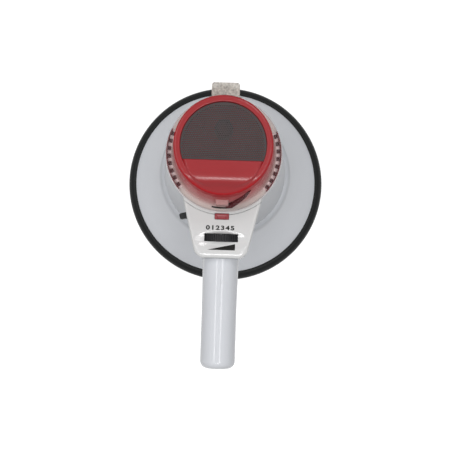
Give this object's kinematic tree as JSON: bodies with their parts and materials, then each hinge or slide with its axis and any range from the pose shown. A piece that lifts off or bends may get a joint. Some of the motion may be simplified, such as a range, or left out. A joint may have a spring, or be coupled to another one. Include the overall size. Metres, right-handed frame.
{
  "type": "handheld megaphone",
  "caption": "Handheld megaphone with a flared re-entrant horn, tapered body, hinged clear rear cover with a red microphone head, wedge grip head with volume wheel, and round handle.",
  "frame": {"origin": "centre of the bell's mouth, on the plane of the rubber rim that it stands on", "axes": "+Z along the horn axis from the mouth to the microphone, -Y along the handle towards its free end, +Y towards the cover's hinge, +X to the right when seen from the microphone with the handle down"},
  "size_m": [0.2206, 0.2984, 0.3013],
  "materials": {
    "white_plastic": "satin white moulding",
    "panel_plastic": "fine satin, warm white",
    "grey_plastic": "satin",
    "black_plastic": "satin black",
    "red_plastic": "glossy dark red",
    "comb_red": "dark red",
    "clear_plastic": "clear, polished",
    "black_rubber": "soft black",
    "lead_rubber": "dark red sheath",
    "grille_metal": "dark grey enamel, perforated",
    "steel": "zinc plated",
    "aluminium": "plain",
    "iron": "zinc plated soft iron",
    "ferrite": "sintered, dark",
    "membrane": "thin film",
    "copper": "enamelled winding",
    "board": "green laminate",
    "sleeve_blue": "shrink sleeve",
    "contact_brass": "plain"
  },
  "bodies": {
    "horn_and_grip": {"horn_bell": "white_plastic", "rim_guard": "black_rubber", "tone_tube": "grey_plastic", "reflector": "white_plastic", "horn_screws": "steel", "driver_screws": "steel", "driver_plate": "aluminium", "diaphragm": "membrane", "voice_coil": "copper", "top_plate": "iron", "magnet": "ferrite", "yoke": "iron", "driver_can": "black_plastic", "body_shell": "white_plastic", "amp_board": "board", "heat_sink": "aluminium", "capacitors": "sleeve_blue", "board_screws": "steel", "battery_tray": "black_plastic", "battery_cells": "sleeve_blue", "battery_springs": "steel", "battery_contacts": "contact_brass", "cover_gasket": "black_rubber", "hinge_pin": "steel", "grip_head": "white_plastic", "control_panel": "panel_plastic", "saddle_screws": "steel", "panel_screws": "steel", "grip_screws": "steel", "volume_pot": "steel", "latch_spring": "steel", "mode_switch": "black_plastic", "grip_tube": "white_plastic", "trigger_pin": "steel", "trigger_spring": "steel", "talk_switch": "black_plastic"},
    "cover": {"rear_cover": "clear_plastic", "mic_carrier": "panel_plastic", "comb_ring": "comb_red", "mic_lead": "lead_rubber", "carrier_screws": "steel", "mic_housing": "red_plastic", "chin_guard": "red_plastic", "mic_grille": "grille_metal", "mic_boot": "black_rubber", "mic_capsule": "aluminium"},
    "latch": {"latch_button": "red_plastic"},
    "volume": {"volume_wheel": "black_plastic", "volume_shaft": "aluminium"},
    "mode": {"mode_knob": "black_plastic"},
    "trigger_lever": {"trigger": "black_plastic"}
  },
  "joints": [
    {"name": "cover_hinge", "type": "hinge", "parent": "horn_and_grip", "child": "cover", "pos_m": [0, 0.0565, 0.247], "axis": [-1, 0, 0], "range_deg": [0, 105]},
    {"name": "latch_press", "type": "slide", "parent": "horn_and_grip", "child": "latch", "axis": [0, 0, -1], "range_m": [0, 0.002], "stiffness_N_per_m": 600, "deforming": ["latch_spring"]},
    {"name": "volume_turn", "type": "hinge", "parent": "horn_and_grip", "child": "volume", "pos_m": [0, -0.0731, 0.2266], "axis": [0, 1, 0], "range_deg": [-135, 135]},
    {"name": "mode_slide", "type": "slide", "parent": "horn_and_grip", "child": "mode", "axis": [0, 0, 1], "range_m": [-0.0035, 0.0035]},
    {"name": "trigger_squeeze", "type": "hinge", "parent": "horn_and_grip", "child": "trigger_lever", "pos_m": [0, -0.1002, 0.2105], "axis": [-1, 0, 0], "range_deg": [0, 8], "stiffness_Nm_per_rad": 0.6, "deforming": ["trigger_spring"]}
  ]
}
